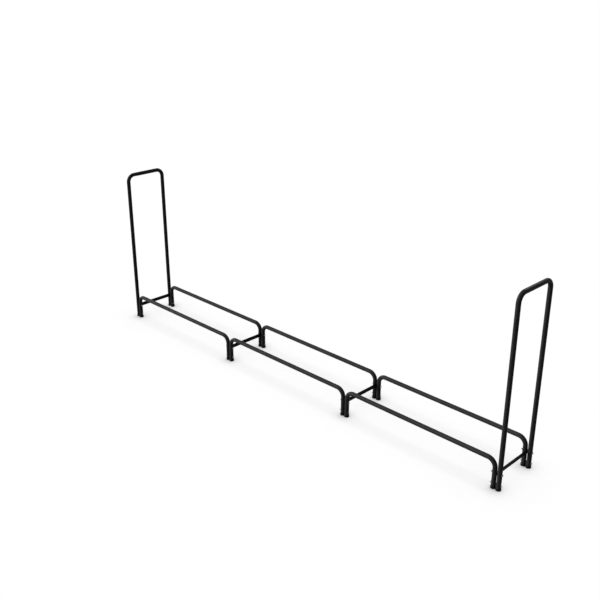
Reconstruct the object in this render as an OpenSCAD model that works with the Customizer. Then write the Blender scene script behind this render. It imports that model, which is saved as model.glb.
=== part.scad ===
// Firewood log rack: two end frames and six log rails, each bent from one steel tube,
// bolted leg to leg in eight pairs, with four flat cross bars between front and rear.
// Millimetres. The rack's length runs along X, its front faces -Y, and the ground is z = 0.

/* [Rack] */
// Distance between the centres of the two legs of one log rail
bay_length = 1158; // [400:1:2400]
// Overall depth, over the outside of the front and rear legs
rack_depth = 363; // [240:1:800]
// Height from the ground to the top of the end frames
rack_height = 1253; // [400:1:2000]
// Height from the ground to the top of the log rails
rail_height = 206; // [195:1:380]

/* [Tube] */
// Outer diameter of the steel tube
tube_d = 30; // [26:1:36]
// Wall thickness of the tube
tube_wall = 1.5; // [1:0.1:3]
// Bend radius of the tube, measured at its centre line
bend_radius = 54; // [40:1:64]
// Free space between the two legs of a pair
leg_gap = 5.5; // [5:0.5:12]

/* [Cross bars] */
// Height of the flat cross bar, which stands on edge
bar_height = 30; // [20:1:44]
// Thickness of the flat cross bar
bar_thickness = 2; // [1:0.5:3.5]
// Length of the bar beyond each bolt hole
bar_end = 15; // [9:1:22]
// Radius of the bar's rounded corners
bar_corner = 6; // [2:1:9]

/* [Fasteners] */
// Height of the upper bolts, which hold the cross bars
upper_bolt_height = 108; // [80:1:112]
// Height of the lower bolts, which hold the legs together near the ground
lower_bolt_height = 33; // [30:1:48]
// Diameter of the bolt shank
bolt_d = 6; // [5:0.5:7]
// Clearance of each bolt hole over the shank, on the diameter
hole_clearance = 0.6; // [0.4:0.1:1]
// Width of the hexagon head and nut across their flats
hex_width = 10; // [8.5:0.5:10]
// Height of the bolt's head
head_height = 4; // [3:0.5:5]
// Height of the nut
nut_height = 5; // [4:0.5:6]
// Length of thread that shows past the nut
thread_end = 2.5; // [1:0.5:5]
// Clearance of the nut over the shank, on the diameter
nut_clearance = 0.1; // [0.1:0.1:0.3]
// Outer diameter of the washers
washer_d = 12; // [12:0.5:15]
// Thickness of the washers
washer_thickness = 1.6; // [1:0.2:2]
// Outer diameter of the nylon spacers between the legs of a pair
spacer_d = 16; // [12:0.5:18]
// Distance that a spacer's hollowed faces reach round the tube
saddle_depth = 1.5; // [0.5:0.1:2]
// Clearance between a spacer's hollowed face and the tube
saddle_clearance = 0.1; // [0.1:0.1:0.3]

/* [Foot caps] */
// Height of the cap
cap_height = 15; // [10:1:18]
// Thickness of the cap under the tube
cap_floor = 3; // [2:0.5:5]
// Wall thickness of the cap's sleeve
cap_wall = 2.2; // [1.5:0.1:2.4]
// Clearance between the tube and the cap's sleeve, on the radius
cap_clearance = 0.2; // [0.1:0.1:0.4]
// Size of the chamfer on the cap's outer edges
cap_chamfer = 1; // [0.4:0.2:1.4]
// Depth of the hollow under the cap
cap_hollow = 0.8; // [0.4:0.1:1.2]
// Radius of the hollow under the cap
cap_hollow_r = 10; // [6:0.5:12]

/* [Hidden] */
$fn = 64;
cut = 1;
tube_r = tube_d / 2;
// Between the centres of the two legs of a pair, and between the centres of neighbouring pairs
leg_spacing = tube_d + leg_gap;
pair_spacing = bay_length + leg_spacing;
leg_y = rack_depth / 2 - tube_r;
rail_axis = rail_height - tube_r;
frame_axis = rack_height - tube_r;
hole_d = bolt_d + hole_clearance;
// From under the bolt's head to the nut
grip = 2 * tube_d + leg_gap + 2 * washer_thickness;
bolt_length = grip + nut_height + thread_end;
// From the middle of a leg pair to the ends of its spacers
spacer_reach = leg_gap / 2 + saddle_depth;
BOLT_HEIGHTS = [upper_bolt_height, lower_bolt_height];
STEEL = "#1c1c1d";
ZINC = "#77787a";
PLASTIC = "#101011";

// Centre of leg pair p, from 0 at the left end to 3 at the right end.
function pair_x(p) = (p - 1.5) * pair_spacing;

// Centre of leg i, from 0 at the left end to 7 at the right end.
function leg_x(i) = pair_x(floor(i / 2)) + (i % 2 - 0.5) * leg_spacing;

// The solid path of one bent tube: two legs, two bends and the length between them, in the XZ plane.
module bent_rod(span, axis_height, foot, r) {
  straight_x = span / 2 - bend_radius;
  straight_z = axis_height - bend_radius;
  for (side = [-1, 1]) {
    translate([side * span / 2, 0, foot])
      cylinder(r = r, h = straight_z - foot);
    translate([side * straight_x, 0, straight_z])
      rotate([90, 0, side > 0 ? 0 : 180])
        rotate_extrude(angle = 90)
          translate([bend_radius, 0]) circle(r = r);
  }
  translate([-straight_x, 0, axis_height])
    rotate([0, 90, 0])
      cylinder(r = r, h = 2 * straight_x);
}

// One hollow tube, open at the bottom of both legs, where it stands on the floor of its two caps.
module bent_tube(span, axis_height) {
  difference() {
    bent_rod(span, axis_height, cap_floor, tube_r);
    bent_rod(span, axis_height, cap_floor - cut, tube_r - tube_wall);
  }
}

// The two bolt holes through one leg, along X.
module leg_bores(x, y) {
  for (h = BOLT_HEIGHTS)
    translate([x - tube_r - cut, y, h])
      rotate([0, 90, 0])
        cylinder(d = hole_d, h = tube_d + 2 * cut);
}

// End frame: one tall inverted U across the depth of the rack, as leg i of both rows.
module end_frame(i) {
  color(STEEL) difference() {
    translate([leg_x(i), 0, 0]) rotate([0, 0, 90]) bent_tube(2 * leg_y, frame_axis);
    for (side = [-1, 1]) leg_bores(leg_x(i), side * leg_y);
  }
}

// Log rail: one long, low inverted U along the rack, in bay 0, 1 or 2, in the front or rear row.
module log_rail(bay, side) {
  color(STEEL) difference() {
    translate([(bay - 1) * pair_spacing, side * leg_y, 0]) bent_tube(bay_length, rail_axis);
    for (i = [2 * bay + 1, 2 * bay + 2]) leg_bores(leg_x(i), side * leg_y);
  }
}

// A rectangle with rounded corners, centred on the origin.
module rounded_plate(length, height, corner) {
  square([length, height - 2 * corner], center = true);
  square([length - 2 * corner, height], center = true);
  for (x = [-1, 1], y = [-1, 1])
    translate([x * (length / 2 - corner), y * (height / 2 - corner)]) circle(r = corner);
}

// Cross bar: a flat bar on edge between the two legs of pair p, from the front row to the rear row.
module cross_bar(p) {
  color(STEEL)
    translate([pair_x(p) - bar_thickness / 2, 0, upper_bolt_height])
      rotate([90, 0, 90])
        linear_extrude(bar_thickness)
          difference() {
            rounded_plate(2 * (leg_y + bar_end), bar_height, bar_corner);
            for (side = [-1, 1]) translate([side * leg_y, 0]) circle(d = hole_d);
          }
}

// Foot cap: a plastic boot round the bottom of leg i, with a shallow hollow under its floor.
module foot_cap(i, side) {
  bore_r = tube_r + cap_clearance;
  outer_r = bore_r + cap_wall;
  color(PLASTIC)
    translate([leg_x(i), side * leg_y, 0])
      rotate_extrude()
        polygon([
          [0, cap_hollow], [cap_hollow_r, cap_hollow], [cap_hollow_r, 0],
          [outer_r - cap_chamfer, 0], [outer_r, cap_chamfer],
          [outer_r, cap_height - cap_chamfer], [outer_r - cap_chamfer, cap_height],
          [bore_r, cap_height], [bore_r, cap_floor], [0, cap_floor]
        ]);
}

// Places its children at each bolt of the given heights, with +X towards the nearer end of the rack.
module at_bolts(heights) {
  for (p = [0:3], side = [-1, 1], h = heights)
    translate([pair_x(p), side * leg_y, h]) rotate([0, 0, p < 2 ? 180 : 0]) children();
}

// A disc or ring round the X axis, from x = from to x = from + length.
module ring_x(from, length, outer_d, inner_d) {
  translate([from, 0, 0]) rotate([0, 90, 0]) difference() {
    cylinder(d = outer_d, h = length);
    translate([0, 0, -cut]) cylinder(d = inner_d, h = length + 2 * cut);
  }
}

// A hexagonal block along Z with its corners chamfered at the top.
module hex_block(height) {
  flat_r = hex_width / 2;
  intersection() {
    cylinder(r = flat_r / cos(30), h = height, $fn = 6);
    cylinder(r1 = flat_r + height / tan(30), r2 = flat_r, h = height);
  }
}

// One bolt, with its head on the side of the leg pair that faces the nearer end of the rack.
module hex_bolt() {
  end_chamfer = bolt_d / 8;
  translate([grip / 2, 0, 0]) rotate([0, 90, 0]) hex_block(head_height);
  translate([grip / 2 - bolt_length + end_chamfer, 0, 0]) rotate([0, 90, 0])
    cylinder(d = bolt_d, h = bolt_length - end_chamfer);
  translate([grip / 2 - bolt_length, 0, 0]) rotate([0, 90, 0])
    cylinder(d1 = bolt_d - 2 * end_chamfer, d2 = bolt_d, h = end_chamfer);
}

// One nut, on the other side of the leg pair.
module hex_nut() {
  translate([-grip / 2, 0, 0]) rotate([0, -90, 0]) difference() {
    hex_block(nut_height);
    translate([0, 0, -cut]) cylinder(d = bolt_d + nut_clearance, h = nut_height + 2 * cut);
  }
}

module hex_bolts() { color(ZINC) at_bolts(BOLT_HEIGHTS) hex_bolt(); }
module hex_nuts() { color(ZINC) at_bolts(BOLT_HEIGHTS) hex_nut(); }

module head_washers() {
  color(ZINC) at_bolts(BOLT_HEIGHTS)
    ring_x(grip / 2 - washer_thickness, washer_thickness, washer_d, hole_d);
}

module nut_washers() {
  color(ZINC) at_bolts(BOLT_HEIGHTS)
    ring_x(-grip / 2, washer_thickness, washer_d, hole_d);
}

// A spacer round the bolt, from x = from to x = to, hollowed where the two round legs press on it.
module saddle_spacer(from, to) {
  difference() {
    ring_x(from, to - from, spacer_d, hole_d);
    for (side = [-1, 1])
      translate([side * leg_spacing / 2, 0, -spacer_d / 2 - cut])
        cylinder(r = tube_r + saddle_clearance, h = spacer_d + 2 * cut);
  }
}

// Spacers on the lower bolts, with both ends hollowed, which keep the two legs of a pair apart.
module leg_spacers() {
  color(PLASTIC) at_bolts([lower_bolt_height]) saddle_spacer(-spacer_reach, spacer_reach);
}

// Spacers on the upper bolts, flat against the cross bar and hollowed on the leg's side.
module bar_spacers() {
  color(PLASTIC) at_bolts([upper_bolt_height]) {
    saddle_spacer(-spacer_reach, -bar_thickness / 2);
    saddle_spacer(bar_thickness / 2, spacer_reach);
  }
}

end_frame(0);  // end_frame_left
end_frame(7);  // end_frame_right
log_rail(0, -1);  // front_rail_left
log_rail(1, -1);  // front_rail_middle
log_rail(2, -1);  // front_rail_right
log_rail(0, 1);  // rear_rail_left
log_rail(1, 1);  // rear_rail_middle
log_rail(2, 1);  // rear_rail_right
for (p = [0:3]) cross_bar(p);
for (i = [0:7]) foot_cap(i, -1);
for (i = [0:7]) foot_cap(i, 1);
hex_bolts();
hex_nuts();
head_washers();
nut_washers();
leg_spacers();
bar_spacers();
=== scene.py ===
import math

import bpy
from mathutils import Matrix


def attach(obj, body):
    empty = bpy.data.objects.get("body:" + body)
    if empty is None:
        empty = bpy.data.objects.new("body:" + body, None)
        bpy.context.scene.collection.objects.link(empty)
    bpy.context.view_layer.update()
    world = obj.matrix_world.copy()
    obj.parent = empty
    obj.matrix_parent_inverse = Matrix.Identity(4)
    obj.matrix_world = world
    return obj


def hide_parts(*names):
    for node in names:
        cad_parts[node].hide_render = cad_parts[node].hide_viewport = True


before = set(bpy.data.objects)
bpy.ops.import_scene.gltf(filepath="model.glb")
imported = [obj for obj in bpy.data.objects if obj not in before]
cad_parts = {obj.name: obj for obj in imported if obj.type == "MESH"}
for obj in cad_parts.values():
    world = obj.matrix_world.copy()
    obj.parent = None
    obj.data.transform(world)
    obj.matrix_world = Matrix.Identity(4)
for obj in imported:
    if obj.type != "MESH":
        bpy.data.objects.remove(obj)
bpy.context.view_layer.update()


# ---- Camera ----
# Stands in front of the rack's right end, above its top, and looks down along the rack towards its left end.
CAMERA_PLACE = (3.87445, -3.87472, 2.89663)
CAMERA_TILT = 67.5
CAMERA_TURN = 45.0
CAMERA_LENS = 50.0

bpy.ops.object.select_all(action="DESELECT")
bpy.ops.object.camera_add(
    location=CAMERA_PLACE,
    rotation=(math.radians(CAMERA_TILT), 0, math.radians(CAMERA_TURN)),
)
camera = bpy.context.object
camera.name = "camera"
camera.data.lens = CAMERA_LENS
camera.data.sensor_width = 36.0
camera.data.clip_end = 200.0
bpy.context.scene.camera = camera


# ---- End frames and log rails ----
# Two tall end frames and six low log rails, each one steel tube bent twice to an upside-down U.
# The tube is blasted and coated with satin black powder, which cures with a fine orange peel.
# The coat is a little thicker in some places, and the bolts' washers have rubbed a ring round each hole.
BOLT_HEIGHTS = (0.108, 0.033)
LEG_LINE = 0.1665
WASHER_EDGE = 0.006
RUB_WIDTH = 0.0022
COAT_THIN = (0.0210, 0.0210, 0.0212, 1)
COAT_THICK = (0.0280, 0.0280, 0.0282, 1)
COAT_RUBBED = (0.054, 0.054, 0.054, 1)
COAT_SMOOTHEST = 0.42
COAT_ROUGHEST = 0.54
RUB_COVER = 0.75
DUST = (0.057, 0.057, 0.056, 1)
DUST_COVER = 0.03
FILM_WEAK = 0.050
FILM_STRONG = 0.068
FILM_RUBBED = 0.10
FILM_ROUGHNESS = 0.30
FILM_INDEX = 1.5
PEEL_DEPTH = 0.00010
GRAIN_DEPTH = 0.00003


def new_material(name):
    """A node material, with its tree and its shader."""
    made = bpy.data.materials.new(name)
    made.use_nodes = True
    return made, made.node_tree, made.node_tree.nodes["Principled BSDF"]


def add(tree, kind, *values, output=0, **settings):
    """Adds a shader node and gives its output. Values go to its inputs in order, settings by name."""
    made = tree.nodes.new("ShaderNode" + kind)
    for name, value in settings.items():
        if name in made.inputs:
            connect(tree, value, made.inputs[name])
        else:
            setattr(made, name, value)
    for place, value in enumerate(values):
        connect(tree, value, made.inputs[place])
    return made.outputs[output]


def connect(tree, value, socket):
    """Links an output to a socket, or sets the socket to a plain value."""
    if isinstance(value, bpy.types.NodeSocket):
        tree.links.new(value, socket)
    else:
        socket.default_value = value


def math_node(tree, operation, *values):
    """The result of this operation on the values."""
    return add(tree, "Math", *values, operation=operation)


def blend_colours(tree, factor, first, second):
    """The first colour where factor is 0, the second where it is 1."""
    made = tree.nodes.new("ShaderNodeMix")
    made.data_type = "RGBA"
    connect(tree, factor, made.inputs[0])
    connect(tree, first, made.inputs[6])
    connect(tree, second, made.inputs[7])
    return made.outputs[2]


def noise(tree, scale, detail=2.0, roughness=0.5, stretch=(1, 1, 1)):
    """Even noise in the rack's own space, from 0 to 1, with this many waves to a metre."""
    place = add(tree, "TexCoord", output="Object")
    if stretch != (1, 1, 1):
        place = add(tree, "Mapping", Vector=place, Scale=stretch)
    return add(
        tree, "TexNoise", Vector=place, Scale=scale, Detail=detail, Roughness=roughness
    )


def step(tree, value, low, high, start=0.0, end=1.0):
    """Goes smoothly from start to end as value goes from low to high."""
    return add(
        tree,
        "MapRange",
        value,
        low,
        high,
        start,
        end,
        interpolation_type="SMOOTHSTEP",
    )


def facing_up(tree):
    """1 where the surface faces straight up, 0 on its sides."""
    direction = add(tree, "NewGeometry", output="Normal")
    upward = add(tree, "SeparateXYZ", direction, output="Z")
    return step(tree, upward, 0.35, 0.95)


def rubbed_by_washers(tree):
    """1 in a narrow ring just outside each washer, fading to 0."""
    place = add(tree, "TexCoord", output="Object")
    across = math_node(
        tree,
        "SUBTRACT",
        math_node(tree, "ABSOLUTE", add(tree, "SeparateXYZ", place, output="Y")),
        LEG_LINE,
    )
    height = add(tree, "SeparateXYZ", place, output="Z")
    rings = []
    for bolt_height in BOLT_HEIGHTS:
        above = math_node(tree, "SUBTRACT", height, bolt_height)
        distance = add(
            tree,
            "VectorMath",
            add(tree, "CombineXYZ", across, above, 0.0),
            operation="LENGTH",
            output="Value",
        )
        rings.append(step(tree, distance, WASHER_EDGE, WASHER_EDGE + RUB_WIDTH, 1, 0))
    ring = math_node(tree, "MAXIMUM", rings[0], rings[1])
    patchy = step(tree, noise(tree, 900, 3), 0.36, 0.62)
    return math_node(tree, "MULTIPLY", ring, patchy)


def edge_likeness(tree, rounded):
    """1 on flat faces and less along edges, where this rounded normal leans away from the face's own."""
    flat = add(tree, "NewGeometry", output="Normal")
    return add(
        tree, "VectorMath", rounded, flat, operation="DOT_PRODUCT", output="Value"
    )


def shade(colour, share):
    """This share of a colour; below 1 it paints shade into the colour."""
    return tuple(channel * share for channel in colour[:3]) + (1,)


def powder_coat(name, painted_shade_share=1.0, edge_radius=None):
    """Satin black powder coat on steel. With an edge radius, it is rubbed along sharp edges. Below a share of
    1, painted shade darkens its colour and film.
    """
    coat, tree, shader = new_material(name)
    thickness = step(tree, noise(tree, 7, 4, 0.6), 0.3, 0.7)
    # Painted shade: below a share of 1, the coat's colours are darkened.
    colour = blend_colours(
        tree, thickness, shade(COAT_THIN, painted_shade_share), shade(COAT_THICK, painted_shade_share)
    )
    rubbed = rubbed_by_washers(tree)
    if edge_radius:
        rounded = add(tree, "Bevel", edge_radius, samples=6)
        edge = step(tree, edge_likeness(tree, rounded), 0.80, 0.97, 1, 0)
        chipped = math_node(
            tree, "MULTIPLY", edge, step(tree, noise(tree, 260, 4), 0.40, 0.66)
        )
        rubbed = math_node(tree, "MAXIMUM", rubbed, chipped)
    colour = blend_colours(
        tree, math_node(tree, "MULTIPLY", rubbed, RUB_COVER), colour, COAT_RUBBED
    )
    dust = math_node(
        tree,
        "MULTIPLY",
        facing_up(tree),
        step(tree, noise(tree, 38, 5, 0.65), 0.42, 0.72, 0.0, DUST_COVER),
    )
    colour = blend_colours(tree, dust, colour, DUST)
    tree.links.new(colour, shader.inputs["Base Color"])

    smudges = noise(tree, 22, 4, 0.6)
    tree.links.new(
        math_node(
            tree,
            "ADD",
            step(tree, smudges, 0.35, 0.70, COAT_SMOOTHEST, COAT_ROUGHEST),
            math_node(tree, "MULTIPLY", dust, 1.2),
        ),
        shader.inputs["Roughness"],
    )
    shader.inputs["Specular IOR Level"].default_value = 0.01
    # Painted shade: the film is weakened by the same share.
    tree.links.new(
        math_node(
            tree,
            "ADD",
            step(
                tree,
                smudges,
                0.35,
                0.70,
                FILM_WEAK * painted_shade_share,
                FILM_STRONG * painted_shade_share,
            ),
            math_node(tree, "MULTIPLY", rubbed, FILM_RUBBED),
        ),
        shader.inputs["Coat Weight"],
    )
    shader.inputs["Coat Roughness"].default_value = FILM_ROUGHNESS
    shader.inputs["Coat IOR"].default_value = FILM_INDEX

    orange_peel = add(
        tree,
        "Bump",
        Strength=0.35,
        Distance=PEEL_DEPTH,
        Height=noise(tree, 430, 2, 0.4),
    )
    grain = add(
        tree,
        "Bump",
        Strength=0.30,
        Distance=GRAIN_DEPTH,
        Height=noise(tree, 2300, 2),
        Normal=orange_peel,
    )
    tree.links.new(grain, shader.inputs["Normal"])
    tree.links.new(grain, shader.inputs["Coat Normal"])
    return coat


TUBE_NODES = (
    "end_frame_left",
    "end_frame_right",
    "front_rail_left",
    "front_rail_middle",
    "front_rail_right",
    "rear_rail_left",
    "rear_rail_middle",
    "rear_rail_right",
)
tube_coat = powder_coat("tube_powder_coat")
for name in TUBE_NODES:
    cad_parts[name].material_slots[0].material = tube_coat


# ---- Cross bars ----
# Four flat steel bars on edge, one between the legs of each pair, from the front row to the rear row.
# They are sheared, punched and coated like the tubes, and the coat is rubbed along their edges. Their coat is
# painted darker, at half the tubes' colour and film, as painted shade for faces turned away from the light.
# Painted shade: the share of the tubes' coat colour and film that the bars keep.
BAR_PAINTED_SHADE = 0.5
BAR_EDGE = 0.0006

bar_coat = powder_coat("cross_bar_powder_coat", BAR_PAINTED_SHADE, edge_radius=BAR_EDGE)
for number in range(1, 5):
    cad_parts[f"cross_bar_{number}"].material_slots[0].material = bar_coat


# ---- Foot caps ----
# Sixteen moulded polyethylene boots, pushed on to the legs' lower ends to keep the tubes off the ground.
# The mould gives them a fine matt grain, and their lower edge picks up a little dust.
PLASTIC = (0.0085, 0.0085, 0.0086, 1)
PLASTIC_WORN = (0.020, 0.020, 0.020, 1)
PLASTIC_SHINE = 0.05
PLASTIC_SHINE_ROUGHNESS = 0.38
PLASTIC_INDEX = 1.5
MOULD_GRAIN_DEPTH = 0.00006
SPLASH_HEIGHT = 0.006
SPLASH_COVER = 0.16
CAP_EDGE = 0.0007
CAP_GRAIN = 1500


def moulded_plastic(name, edge_radius, grain_scale):
    """Black moulded plastic with a matt grain, paler along its worn edges and dusty near the ground."""
    plastic, tree, shader = new_material(name)
    rounded = add(tree, "Bevel", edge_radius, samples=6)
    worn = math_node(
        tree,
        "MULTIPLY",
        step(tree, edge_likeness(tree, rounded), 0.88, 0.99, 1, 0),
        step(tree, noise(tree, 700, 3), 0.35, 0.65),
    )
    colour = blend_colours(tree, worn, PLASTIC, PLASTIC_WORN)
    height = add(tree, "SeparateXYZ", add(tree, "TexCoord", output="Object"), output="Z")
    dust = math_node(
        tree,
        "MULTIPLY",
        step(tree, height, 0.0, SPLASH_HEIGHT, 1, 0),
        step(tree, noise(tree, 190, 4), 0.4, 0.75, 0, SPLASH_COVER),
    )
    colour = blend_colours(tree, dust, colour, DUST)
    tree.links.new(colour, shader.inputs["Base Color"])
    tree.links.new(
        step(tree, noise(tree, 120, 3), 0.3, 0.7, 0.52, 0.64),
        shader.inputs["Roughness"],
    )
    shader.inputs["Specular IOR Level"].default_value = 0.02
    shader.inputs["Coat Weight"].default_value = PLASTIC_SHINE
    shader.inputs["Coat Roughness"].default_value = PLASTIC_SHINE_ROUGHNESS
    shader.inputs["Coat IOR"].default_value = PLASTIC_INDEX
    mould_grain = add(
        tree,
        "Bump",
        Strength=0.45,
        Distance=MOULD_GRAIN_DEPTH,
        Height=noise(tree, grain_scale, 3, 0.6),
        Normal=rounded,
    )
    tree.links.new(mould_grain, shader.inputs["Normal"])
    tree.links.new(mould_grain, shader.inputs["Coat Normal"])
    return plastic


cap_plastic = moulded_plastic("foot_cap_plastic", CAP_EDGE, CAP_GRAIN)
for row in ("front", "rear"):
    for number in range(1, 9):
        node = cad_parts[f"{row}_foot_cap_{number}"]
        node.material_slots[0].material = cap_plastic


# ---- Spacers ----
# Moulded nylon saddles on the bolts, between the two legs of each pair and on both sides of each cross bar.
# Their hollowed faces grip the round tubes, so that the bolts clamp the legs without crushing them.
SPACER_EDGE = 0.0003
SPACER_GRAIN = 2400

spacer_nylon = moulded_plastic("spacer_nylon", SPACER_EDGE, SPACER_GRAIN)
for name in ("leg_spacers", "bar_spacers"):
    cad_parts[name].material_slots[0].material = spacer_nylon


# ---- Washers ----
# Thirty-two stamped flat washers, one under every bolt head and one under every nut.
# They are zinc plated and left dull and dark by the weather, with fine scratches and softened edges.
ZINC = (0.200, 0.200, 0.203, 1)
ZINC_DULL = (0.125, 0.125, 0.127, 1)
ZINC_GRIME = (0.045, 0.045, 0.044, 1)
GRIME_COVER = 0.55
TOOL_MARK_DEPTH = 0.00003
WASHER_SOFT_EDGE = 0.00015


def zinc_plate(name, edge_radius):
    """Dull zinc plating on small steel parts, with rounded edges of this radius."""
    zinc, tree, shader = new_material(name)
    cloudy = step(tree, noise(tree, 260, 4, 0.6), 0.32, 0.68)
    colour = blend_colours(tree, cloudy, ZINC, ZINC_DULL)
    grime = step(tree, noise(tree, 620, 5, 0.7), 0.56, 0.74, 0, GRIME_COVER)
    colour = blend_colours(tree, grime, colour, ZINC_GRIME)
    tree.links.new(colour, shader.inputs["Base Color"])
    shader.inputs["Metallic"].default_value = 0.92
    tree.links.new(
        step(tree, noise(tree, 480, 3), 0.3, 0.7, 0.34, 0.52),
        shader.inputs["Roughness"],
    )
    soft_edges = add(tree, "Bevel", edge_radius, samples=4)
    tool_marks = add(
        tree,
        "Bump",
        Strength=0.35,
        Distance=TOOL_MARK_DEPTH,
        Height=noise(tree, 900, 3, 0.5, stretch=(6, 1, 1)),
        Normal=soft_edges,
    )
    tree.links.new(tool_marks, shader.inputs["Normal"])
    return zinc


washer_zinc = zinc_plate("washer_zinc", WASHER_SOFT_EDGE)
for name in ("head_washers", "nut_washers"):
    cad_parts[name].material_slots[0].material = washer_zinc


# ---- Hex bolts ----
# Sixteen zinc plated M6 bolts, two through each pair of legs, their heads towards the rack's nearer end.
# The head is cold forged with a chamfered crown, a shallow dish in its top and a washer face below.
# The last part of the shank has a rolled thread of 1 mm pitch and a chamfered tip.
BAY_LENGTH = 1.158
LEG_SPACING = 0.0355
PAIR_SPACING = BAY_LENGTH + LEG_SPACING
GRIP = 0.0687
HEX_WIDTH = 0.010
HEX_SOFT_EDGE = 0.00012
CROWN_RADIUS = 0.0048
CROWN_ANGLE = math.radians(30)
HEAD_HEIGHT = 0.004
WASHER_FACE = 0.0003
WASHER_FACE_RADIUS = 0.0047
DISH_RADIUS = 0.0027
DISH_RIM = 0.00378
DISH_DEPTH = 0.00025
BOLT_RADIUS = 0.003
BOLT_LENGTH = 0.0762
THREAD_LENGTH = 0.0150
THREAD_PITCH = 0.001
THREAD_STEPS = 24
THREAD_CORE = 0.00243
TIP_LENGTH = 0.0006
TIP_RADIUS = 0.00204
NEXT_TURN = 23
DOUBLED = 0.000005
SMOOTH_BELOW = math.radians(30)
ZINC_SOFT_EDGE = 0.0001
hex_corner = HEX_WIDTH / 2 / math.cos(math.radians(30))


def only(piece):
    """Selects this piece alone."""
    bpy.ops.object.select_all(action="DESELECT")
    piece.select_set(True)
    bpy.context.view_layer.objects.active = piece


def finish_with(piece, kind, **settings):
    """Adds a modifier with these settings and applies it."""
    only(piece)
    bpy.ops.object.modifier_add(type=kind)
    modifier = piece.modifiers[-1]
    for name, value in settings.items():
        setattr(modifier, name, value)
    bpy.ops.object.modifier_apply(modifier=modifier.name)


def cut_with(piece, tool, operation):
    """Cuts a piece with a tool, throws the tool away and merges the doubled points that the cut leaves."""
    finish_with(piece, "BOOLEAN", operation=operation, object=tool, solver="EXACT")
    bpy.data.objects.remove(tool)
    bpy.ops.object.mode_set(mode="EDIT")
    bpy.ops.mesh.select_all(action="SELECT")
    bpy.ops.mesh.remove_doubles(threshold=DOUBLED)
    bpy.ops.object.mode_set(mode="OBJECT")


def select_faces(piece, chosen):
    """Goes into edit mode, with only those faces selected for which chosen(centre, normal) holds."""
    only(piece)
    bpy.ops.object.mode_set(mode="EDIT")
    bpy.ops.mesh.select_mode(type="FACE")
    bpy.ops.mesh.select_all(action="DESELECT")
    bpy.ops.object.mode_set(mode="OBJECT")
    for face in piece.data.polygons:
        face.select = chosen(face.center, face.normal)
    bpy.ops.object.mode_set(mode="EDIT")


def cylinder(radius, low, high, sides=48):
    """A cylinder round the Z axis, from low to high."""
    bpy.ops.object.select_all(action="DESELECT")
    bpy.ops.mesh.primitive_cylinder_add(
        vertices=sides, radius=radius, depth=high - low, location=(0, 0, (low + high) / 2)
    )
    bpy.ops.object.transform_apply(location=True, rotation=True, scale=True)
    return bpy.context.object


def cone(low_radius, high_radius, low, high):
    """A cone round the Z axis, from low to high."""
    bpy.ops.object.select_all(action="DESELECT")
    bpy.ops.mesh.primitive_cone_add(
        vertices=96,
        radius1=low_radius,
        radius2=high_radius,
        depth=high - low,
        location=(0, 0, (low + high) / 2),
    )
    bpy.ops.object.transform_apply(location=True, rotation=True, scale=True)
    return bpy.context.object


def at_every_bolt(model, place_along):
    """Copies a model to all sixteen bolts, its Z axis towards the rack's nearer end, and joins the copies.

    Each copy is turned a little further round its axis than the one before.
    """
    copies = []
    for pair in range(4):
        outward = -1 if pair < 2 else 1
        for side in (-1, 1):
            for height in BOLT_HEIGHTS:
                only(model)
                bpy.ops.object.duplicate(linked=False)
                copy = bpy.context.object
                copy.rotation_euler = (0, 0, math.radians(NEXT_TURN * len(copies) % 60))
                bpy.ops.object.transform_apply(rotation=True)
                copy.rotation_euler = (0, outward * math.pi / 2, 0)
                copy.location = (
                    (pair - 1.5) * PAIR_SPACING + outward * place_along,
                    side * LEG_LINE,
                    height,
                )
                bpy.ops.object.transform_apply(location=True, rotation=True)
                copies.append(copy)
    bpy.data.objects.remove(model)
    return join(copies)


def join(pieces):
    """Joins pieces into one."""
    bpy.ops.object.select_all(action="DESELECT")
    for piece in pieces:
        piece.select_set(True)
    bpy.context.view_layer.objects.active = pieces[0]
    bpy.ops.object.join()
    return bpy.context.object


def chamfered_hexagon(low, high, ends):
    """A hexagonal block round the Z axis, with soft edges and its corners turned off at the named ends."""
    block = cylinder(hex_corner, low, high, sides=6)
    finish_with(block, "BEVEL", width=HEX_SOFT_EDGE, segments=2)
    wide = CROWN_RADIUS + (high - low) / math.tan(CROWN_ANGLE)
    if "high" in ends:
        cut_with(block, cone(wide, CROWN_RADIUS, low, high), "INTERSECT")
    if "low" in ends:
        cut_with(block, cone(CROWN_RADIUS, wide, low, high), "INTERSECT")
    return block


# The head: a chamfered crown with a shallow dish in it, and a washer face below.
head = chamfered_hexagon(WASHER_FACE, HEAD_HEIGHT, ends=("high",))
dish = cone(DISH_RADIUS, DISH_RIM, HEAD_HEIGHT - DISH_DEPTH, HEAD_HEIGHT + DISH_DEPTH)
cut_with(head, dish, "DIFFERENCE")
cut_with(head, cylinder(WASHER_FACE_RADIUS, 0, WASHER_FACE * 1.5), "UNION")

# The shank: the plain part, the thinner core of the thread and the chamfered tip.
shank = cylinder(BOLT_RADIUS, THREAD_LENGTH - BOLT_LENGTH, WASHER_FACE / 2)
select_faces(shank, lambda centre, normal: normal.z < -0.99)
bpy.ops.mesh.inset(thickness=BOLT_RADIUS - THREAD_CORE, depth=0)
bpy.ops.mesh.extrude_region_move(
    TRANSFORM_OT_translate={"value": (0, 0, TIP_LENGTH - THREAD_LENGTH)}
)
bpy.ops.mesh.extrude_region_move(TRANSFORM_OT_translate={"value": (0, 0, -TIP_LENGTH)})
narrower = TIP_RADIUS / THREAD_CORE
bpy.ops.transform.resize(value=(narrower, narrower, 1), center_override=(0, 0, -BOLT_LENGTH))
bpy.ops.object.mode_set(mode="OBJECT")

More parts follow.
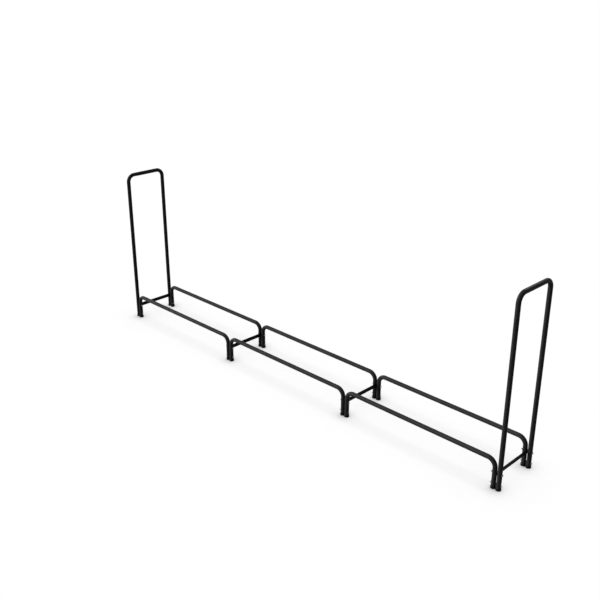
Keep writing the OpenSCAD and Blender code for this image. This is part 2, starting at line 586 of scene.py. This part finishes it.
# The thread: one ridge with a triangular section, wound up the core, its start turned off at 45 degrees.
bpy.ops.object.select_all(action="DESELECT")
bpy.ops.mesh.primitive_circle_add(
    vertices=3,
    radius=THREAD_PITCH / 2,
    location=(BOLT_RADIUS - THREAD_PITCH / 2, 0, -BOLT_LENGTH),
    rotation=(math.pi / 2, math.pi / 2, 0),
)
bpy.ops.object.transform_apply(location=True, rotation=True)
ridge = bpy.context.object
finish_with(
    ridge,
    "SCREW",
    axis="Z",
    screw_offset=THREAD_PITCH,
    iterations=int(THREAD_LENGTH / THREAD_PITCH),
    steps=THREAD_STEPS,
    render_steps=THREAD_STEPS,
)
only(ridge)
bpy.ops.object.mode_set(mode="EDIT")
bpy.ops.mesh.select_all(action="SELECT")
bpy.ops.mesh.fill_holes(sides=3)
bpy.ops.mesh.select_all(action="SELECT")
bpy.ops.mesh.normals_make_consistent(inside=False)
bpy.ops.object.mode_set(mode="OBJECT")
turned = 2 * THREAD_LENGTH
turning = cone(TIP_RADIUS, TIP_RADIUS + turned, -BOLT_LENGTH, turned - BOLT_LENGTH)
cut_with(ridge, turning, "INTERSECT")

bolts = at_every_bolt(join([head, shank, ridge]), GRIP / 2)
bolts.name = "threaded_hex_bolts"
bpy.ops.object.shade_smooth_by_angle(angle=SMOOTH_BELOW)
bolts.data.materials.clear()
bolts.data.materials.append(zinc_plate("bolt_zinc", ZINC_SOFT_EDGE))
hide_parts("hex_bolts")
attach(bolts, "root")


# ---- Hex nuts ----
# Sixteen zinc plated M6 nuts, screwed on at the bolts' thin ends until 2.5 mm of thread stands out.
# Both faces are chamfered, and the bore is countersunk on both sides.
NUT_HEIGHT = 0.005
NUT_BORE = 0.00305
COUNTERSINK = 0.0004
countersunk = 1 + 2 * COUNTERSINK / NUT_BORE

nut = chamfered_hexagon(-NUT_HEIGHT, 0, ends=("low", "high"))
drill = cylinder(NUT_BORE, COUNTERSINK - NUT_HEIGHT, -COUNTERSINK)
for way in (1, -1):
    select_faces(drill, lambda centre, normal: normal.z * way > 0.99)
    bpy.ops.mesh.extrude_region_move(
        TRANSFORM_OT_translate={"value": (0, 0, 2 * way * COUNTERSINK)}
    )
    bpy.ops.transform.resize(
        value=(countersunk, countersunk, 1), center_override=(0, 0, 0)
    )
    bpy.ops.object.mode_set(mode="OBJECT")
cut_with(nut, drill, "DIFFERENCE")

nuts = at_every_bolt(nut, -GRIP / 2)
nuts.name = "chamfered_hex_nuts"
bpy.ops.object.shade_smooth_by_angle(angle=SMOOTH_BELOW)
nuts.data.materials.clear()
nuts.data.materials.append(zinc_plate("nut_zinc", ZINC_SOFT_EDGE))
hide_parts("hex_nuts")
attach(nuts, "root")


# ---- Floor and light ----
# A plain white floor runs out of view. The pale room, the ceiling and a lamp overhead leave the rack's
# soft shadow on it, and a contact shadow is painted into the floor's glow, darker within 10 cm of the rack.
# Four broad lamps light only the rack: low on the left, higher at the front left, at the rear, and low behind
# its left end.
FLOOR_SIZE = 160.0
FLOOR_WHITE = 0.90
FLOOR_BOUNCE = 0.20
FLOOR_GLOW = 0.536
# How far from the rack the painted contact shadow reaches.
PAINTED_SHADOW_REACH = 0.10
ROOM_LIGHT = 0.08
# Each lamp's name, its degrees round the rack and above the ground, its brightness on white paint, its spread
# in degrees, and what it lights.
LAMPS = (
    ("low_left", 205, 12, 1.00, 30, "rack"),
    ("front_left", 232, 35, 0.75, 30, "rack"),
    ("rear", 104, 30, 0.50, 30, "rack"),
    ("left_end", 165, 4, 0.60, 30, "rack"),
    ("overhead", 90, 86, 0.20, 40, "floor"),
    ("ceiling", 90, 90, 0.25, 150, "floor"),
)


def seen_as_background(tree):
    """1 for the camera, for reflections and through glass, and 0 for light that falls on the rack."""
    seen = add(tree, "LightPath", output="Is Camera Ray")
    for kind in ("Is Glossy Ray", "Is Transmission Ray"):
        seen = math_node(tree, "ADD", seen, add(tree, "LightPath", output=kind))
    return math_node(tree, "MINIMUM", seen, 1.0)


bpy.ops.object.select_all(action="DESELECT")
bpy.ops.mesh.primitive_plane_add(size=FLOOR_SIZE)
floor = bpy.context.object
floor.name = "floor"
floor_paint = bpy.data.materials.new("floor_paint")
floor_paint.use_nodes = True
tree = floor_paint.node_tree
tree.nodes.remove(tree.nodes["Principled BSDF"])
seen = seen_as_background(tree)
paint = blend_colours(
    tree,
    seen,
    (FLOOR_BOUNCE, FLOOR_BOUNCE, FLOOR_BOUNCE, 1),
    (FLOOR_WHITE, FLOOR_WHITE, FLOOR_WHITE, 1),
)
matt = add(tree, "BsdfDiffuse", paint)
# Painted contact shadow: ambient occlusion dims the floor's glow near the rack's feet and lower parts.
painted_contact_shadow = add(
    tree, "AmbientOcclusion", Distance=PAINTED_SHADOW_REACH, samples=8, output="AO"
)
glow = add(
    tree,
    "Emission",
    (1, 1, 1, 1),
    math_node(
        tree,
        "MULTIPLY",
        math_node(tree, "MULTIPLY", seen, FLOOR_GLOW),
        painted_contact_shadow,
    ),
)
tree.links.new(
    add(tree, "AddShader", matt, glow), tree.nodes["Material Output"].inputs["Surface"]
)
floor.data.materials.append(floor_paint)

room = bpy.data.worlds.new("room")
room.use_nodes = True
tree = room.node_tree
walls = tree.nodes["Background"]
walls.inputs["Color"].default_value = (1, 1, 1, 1)
connect(
    tree,
    step(tree, seen_as_background(tree), 0, 1, ROOM_LIGHT, 1.0),
    walls.inputs["Strength"],
)
bpy.context.scene.world = room

lit = {}
for target, state in (("rack", "EXCLUDE"), ("floor", "INCLUDE")):
    lit[target] = bpy.data.collections.new(f"{target}_lamps")
    lit[target].objects.link(floor)
    lit[target].collection_objects[0].light_linking.link_state = state
for name, around, up, brightness, spread, target in LAMPS:
    bpy.ops.object.light_add(
        type="SUN",
        rotation=(math.radians(90 - up), 0, math.radians(around + 90)),
    )
    lamp = bpy.context.object
    lamp.name = name
    lamp.data.energy = brightness * math.pi
    lamp.data.angle = math.radians(spread)
    lamp.light_linking.receiver_collection = lit[target]

bpy.context.scene.view_settings.view_transform = "Standard"


# ---- Last update ----
bpy.context.view_layer.update()
